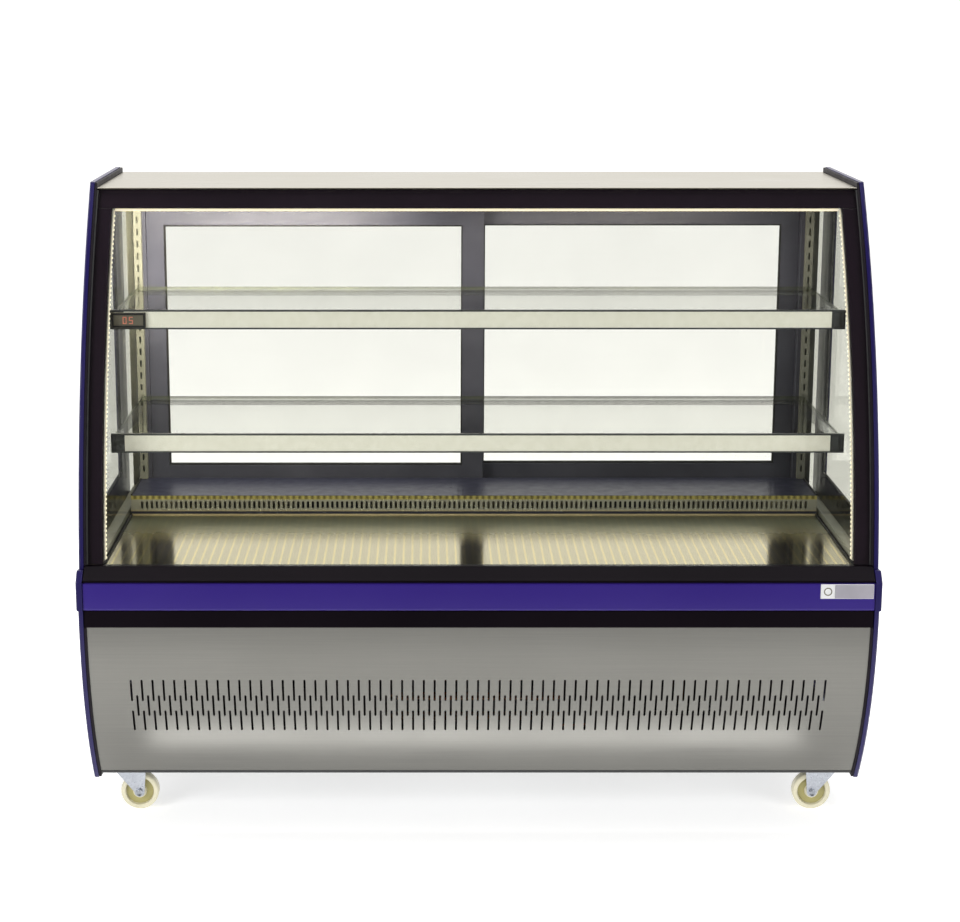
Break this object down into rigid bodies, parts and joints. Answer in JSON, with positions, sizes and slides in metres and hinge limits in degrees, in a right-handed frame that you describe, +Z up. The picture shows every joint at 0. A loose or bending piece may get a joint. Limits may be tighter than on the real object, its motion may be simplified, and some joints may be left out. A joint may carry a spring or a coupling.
{
  "type": "glass display showcase",
  "caption": "Refrigerated counter display case with a curved front glass, glass shelves, sliding rear doors, a slotted skirt over the machinery and swivel casters.",
  "frame": {"origin": "on the floor, under the middle of the case's bounding box", "axes": "+X to the right hand of a customer in front of the case, +Y from front to rear, +Z up"},
  "size_m": [1.5, 0.68, 1.225],
  "materials": {
    "blue_panel": "satin purple-blue paint",
    "clear_glass": "clear tempered glass",
    "black_trim": "glossy black extrusion",
    "spacer_bar": "dark anodised spacer",
    "led_channel": "satin anodised",
    "badge_metal": "brushed blank plate",
    "stainless": "brushed stainless sheet",
    "polished_steel": "polished stainless sheet",
    "foam": "insulating foam in a plastic skin",
    "chrome_tube": "bright chrome",
    "rail_plastic": "dark grey extrusion",
    "insert_strip": "cream strip",
    "black_plastic": "moulded black plastic",
    "door_extrusion": "dark powder coat",
    "galvanised": "galvanised sheet",
    "zinc": "zinc plated steel",
    "frame_steel": "black powder coat",
    "compressor_black": "black enamel",
    "fin_aluminium": "thin fins",
    "copper": "copper tube",
    "green_rocker": "green rocker",
    "red_rocker": "red rocker",
    "nylon": "cream nylon"
  },
  "bodies": {
    "root": {"end_panel_left": "blue_panel", "end_panel_right": "blue_panel", "side_glass_left": "clear_glass", "side_glass_right": "clear_glass", "edge_trims": "black_trim", "side_glass_spacers": "spacer_bar", "front_glass": "clear_glass", "front_frame": "black_trim", "led_bars": "led_channel", "bumper": "blue_panel", "bumper_end_caps": "blue_panel", "lower_trim": "black_trim", "badge": "badge_metal", "front_grille_panel": "stainless", "roof_panel": "stainless", "deck": "polished_steel", "rear_duct_grille": "polished_steel", "insulated_tub": "foam", "shelf_uprights": "stainless", "upper_shelf_glass": "clear_glass", "upper_shelf_frame": "chrome_tube", "lower_shelf_glass": "clear_glass", "lower_shelf_frame": "chrome_tube", "price_rails": "rail_plastic", "price_inserts": "insert_strip", "thermometer": "black_plastic", "rear_frame": "door_extrusion", "rear_service_panel": "galvanised", "cord_gland": "black_plastic", "control_panel": "stainless", "temperature_controller": "black_plastic", "panel_screws": "zinc", "base_frame": "frame_steel", "base_tray": "galvanised", "compressor": "compressor_black", "condenser_coil": "fin_aluminium", "condenser_fan_shroud": "galvanised", "evaporator_fan_frames": "black_plastic", "evaporator_coil": "fin_aluminium", "condensate_tray": "black_plastic", "refrigerant_pipes": "copper", "caster_plates": "zinc"},
    "left_door": {"left_door_frame": "door_extrusion", "left_door_glass": "clear_glass"},
    "right_door": {"right_door_frame": "door_extrusion", "right_door_glass": "clear_glass"},
    "condenser_fan": {"condenser_fan_rotor": "fin_aluminium"},
    "evaporator_fan_left": {"evaporator_fan_rotor_left": "black_plastic"},
    "evaporator_fan_right": {"evaporator_fan_rotor_right": "black_plastic"},
    "power_rocker": {"power_switch": "green_rocker"},
    "light_rocker": {"light_switch": "red_rocker"},
    "front_left_caster": {"front_left_caster_fork": "zinc"},
    "front_left_caster_wheel": {"front_left_caster_wheel": "nylon"},
    "front_right_caster": {"front_right_caster_fork": "zinc"},
    "front_right_caster_wheel": {"front_right_caster_wheel": "nylon"},
    "rear_left_caster": {"rear_left_caster_fork": "zinc"},
    "rear_left_caster_wheel": {"rear_left_caster_wheel": "nylon"},
    "rear_right_caster": {"rear_right_caster_fork": "zinc"},
    "rear_right_caster_wheel": {"rear_right_caster_wheel": "nylon"}
  },
  "joints": [
    {"name": "left_door_slide", "type": "slide", "parent": "root", "child": "left_door", "axis": [1, 0, 0], "range_m": [0, 0.654]},
    {"name": "right_door_slide", "type": "slide", "parent": "root", "child": "right_door", "axis": [1, 0, 0], "range_m": [-0.654, 0]},
    {"name": "condenser_fan_spin", "type": "hinge", "parent": "root", "child": "condenser_fan", "pos_m": [0, -0.1425, 0.261], "axis": [0, 1, 0], "continuous": true},
    {"name": "evaporator_fan_left_spin", "type": "hinge", "parent": "root", "child": "evaporator_fan_left", "pos_m": [-0.3, 0.176, 0.56], "axis": [0, 0, 1], "continuous": true},
    {"name": "evaporator_fan_right_spin", "type": "hinge", "parent": "root", "child": "evaporator_fan_right", "pos_m": [0.3, 0.176, 0.56], "axis": [0, 0, 1], "continuous": true},
    {"name": "power_rocker_tilt", "type": "hinge", "parent": "root", "child": "power_rocker", "pos_m": [0.46, 0.326, 0.50125], "axis": [1, 0, 0], "range_deg": [-5, 5]},
    {"name": "light_rocker_tilt", "type": "hinge", "parent": "root", "child": "light_rocker", "pos_m": [0.51, 0.326, 0.50125], "axis": [1, 0, 0], "range_deg": [-5, 5]},
    {"name": "front_left_caster_swivel", "type": "hinge", "parent": "root", "child": "front_left_caster", "pos_m": [-0.69, -0.16, 0.09], "axis": [0, 0, 1], "continuous": true},
    {"name": "front_left_caster_spin", "type": "hinge", "parent": "front_left_caster", "child": "front_left_caster_wheel", "pos_m": [-0.665, -0.16, 0.0375], "axis": [0, 1, 0], "continuous": true},
    {"name": "front_right_caster_swivel", "type": "hinge", "parent": "root", "child": "front_right_caster", "pos_m": [0.69, -0.16, 0.09], "axis": [0, 0, 1], "continuous": true},
    {"name": "front_right_caster_spin", "type": "hinge", "parent": "front_right_caster", "child": "front_right_caster_wheel", "pos_m": [0.665, -0.16, 0.0375], "axis": [0, 1, 0], "continuous": true},
    {"name": "rear_left_caster_swivel", "type": "hinge", "parent": "root", "child": "rear_left_caster", "pos_m": [-0.69, 0.25, 0.09], "axis": [0, 0, 1], "continuous": true},
    {"name": "rear_left_caster_spin", "type": "hinge", "parent": "rear_left_caster", "child": "rear_left_caster_wheel", "pos_m": [-0.665, 0.25, 0.0375], "axis": [0, 1, 0], "continuous": true},
    {"name": "rear_right_caster_swivel", "type": "hinge", "parent": "root", "child": "rear_right_caster", "pos_m": [0.69, 0.25, 0.09], "axis": [0, 0, 1], "continuous": true},
    {"name": "rear_right_caster_spin", "type": "hinge", "parent": "rear_right_caster", "child": "rear_right_caster_wheel", "pos_m": [0.665, 0.25, 0.0375], "axis": [0, 1, 0], "continuous": true}
  ]
}
